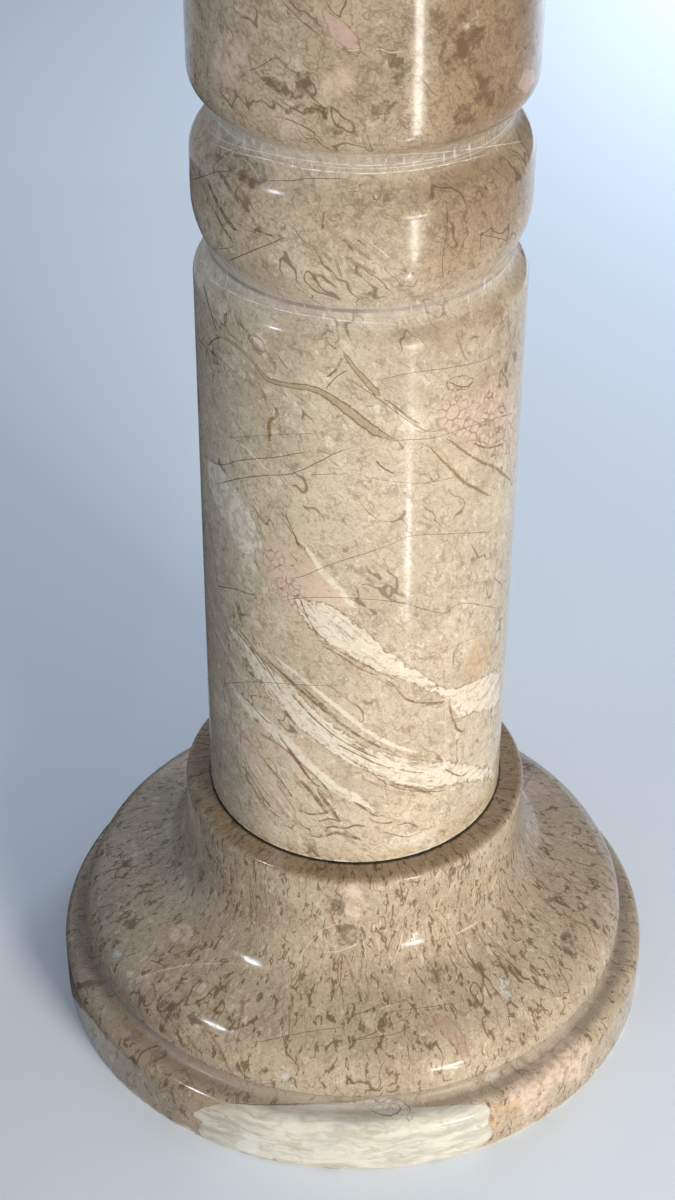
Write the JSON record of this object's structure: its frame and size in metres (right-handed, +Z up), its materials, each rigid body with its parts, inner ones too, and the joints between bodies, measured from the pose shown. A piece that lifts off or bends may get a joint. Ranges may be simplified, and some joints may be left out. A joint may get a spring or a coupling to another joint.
{
  "type": "marble pedestal column",
  "caption": "Free-standing turned marble pedestal with a moulded round base, a plain shaft with a rounded band between grooves, and a round capital with a flat top.",
  "frame": {"origin": "centre of the underside, on the surface that the column stands on", "axes": "+Z up along the axis of turning, +X and +Y level; the side in the picture faces -Y"},
  "size_m": [0.306, 0.306, 0.9106],
  "materials": {
    "base": "polished taupe marble with brown flecks",
    "shaft": "polished beige marble with cream bands and brown veins",
    "capital": "polished beige marble with brown flecks"
  },
  "bodies": {
    "root": {"base": "base", "shaft": "shaft", "capital": "capital"}
  },
  "joints": []
}
